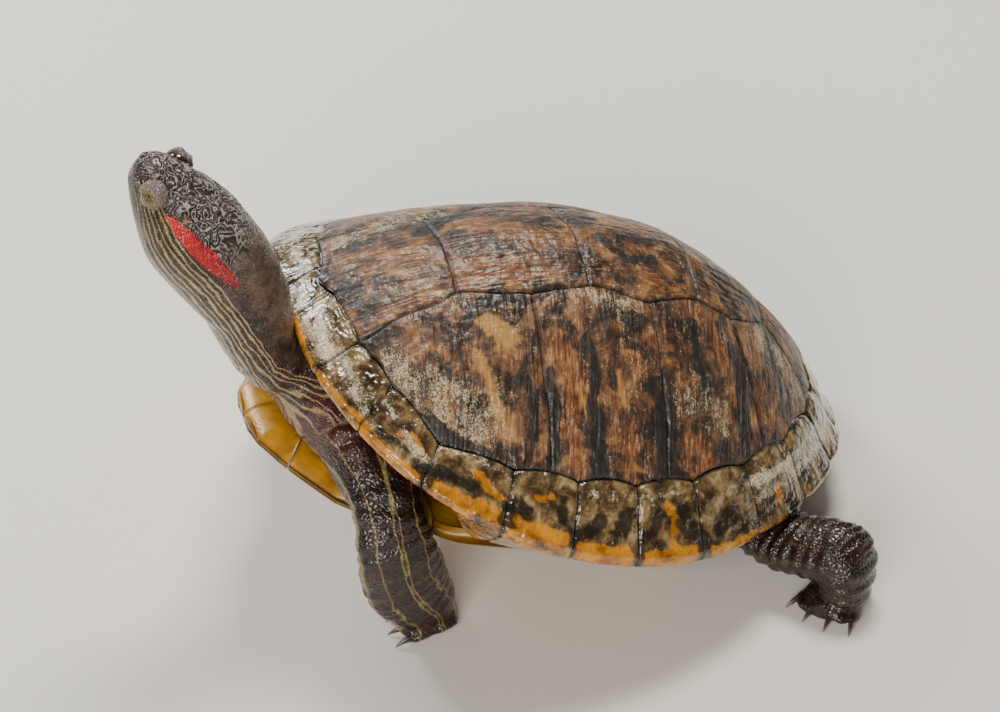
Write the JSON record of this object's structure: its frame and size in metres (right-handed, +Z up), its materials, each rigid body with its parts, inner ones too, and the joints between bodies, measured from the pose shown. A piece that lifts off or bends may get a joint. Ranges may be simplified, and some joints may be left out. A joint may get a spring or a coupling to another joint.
{
  "type": "turtle model",
  "caption": "Life-size still model of an adult red-eared slider turtle, standing with the front of its shell raised and its neck stretched up.",
  "frame": {"origin": "on the floor, at the centre of the bounding box's underside", "axes": "+Z up, head toward -Y, the animal's left side toward +X"},
  "size_m": [0.1732, 0.218, 0.1567],
  "materials": {
    "carapace_horn": "wet brown horn",
    "marginal_horn": "wet grey horn with yellow and dark marks",
    "plastron_horn": "wet yellow horn",
    "skin": "wet striped scaly skin",
    "eye": "clear and wet"
  },
  "bodies": {
    "root": {"vertebral_1": "carapace_horn", "vertebral_2": "carapace_horn", "vertebral_3": "carapace_horn", "vertebral_4": "carapace_horn", "vertebral_5": "carapace_horn", "pleural_1_left": "carapace_horn", "pleural_1_right": "carapace_horn", "pleural_2_left": "carapace_horn", "pleural_2_right": "carapace_horn", "pleural_3_left": "carapace_horn", "pleural_3_right": "carapace_horn", "pleural_4_left": "carapace_horn", "pleural_4_right": "carapace_horn", "nuchal": "marginal_horn", "marginal_1_left": "marginal_horn", "marginal_1_right": "marginal_horn", "marginal_2_left": "marginal_horn", "marginal_2_right": "marginal_horn", "marginal_3_left": "marginal_horn", "marginal_3_right": "marginal_horn", "marginal_4_left": "marginal_horn", "marginal_4_right": "marginal_horn", "marginal_5_left": "marginal_horn", "marginal_5_right": "marginal_horn", "marginal_6_left": "marginal_horn", "marginal_6_right": "marginal_horn", "marginal_7_left": "marginal_horn", "marginal_7_right": "marginal_horn", "marginal_8_left": "marginal_horn", "marginal_8_right": "marginal_horn", "marginal_9_left": "marginal_horn", "marginal_9_right": "marginal_horn", "marginal_10_left": "marginal_horn", "marginal_10_right": "marginal_horn", "marginal_11_left": "marginal_horn", "marginal_11_right": "marginal_horn", "marginal_12_left": "marginal_horn", "marginal_12_right": "marginal_horn", "gular_left": "plastron_horn", "gular_right": "plastron_horn", "humeral_left": "plastron_horn", "humeral_right": "plastron_horn", "pectoral_left": "plastron_horn", "pectoral_right": "plastron_horn", "abdominal_left": "plastron_horn", "abdominal_right": "plastron_horn", "femoral_left": "plastron_horn", "femoral_right": "plastron_horn", "anal_left": "plastron_horn", "anal_right": "plastron_horn", "eye_left": "eye", "eye_right": "eye", "head": "skin", "neck": "skin", "foreleg_left": "skin", "foreleg_right": "skin", "hindleg_left": "skin", "hindleg_right": "skin", "tail": "skin", "trunk": "skin"}
  },
  "joints": []
}
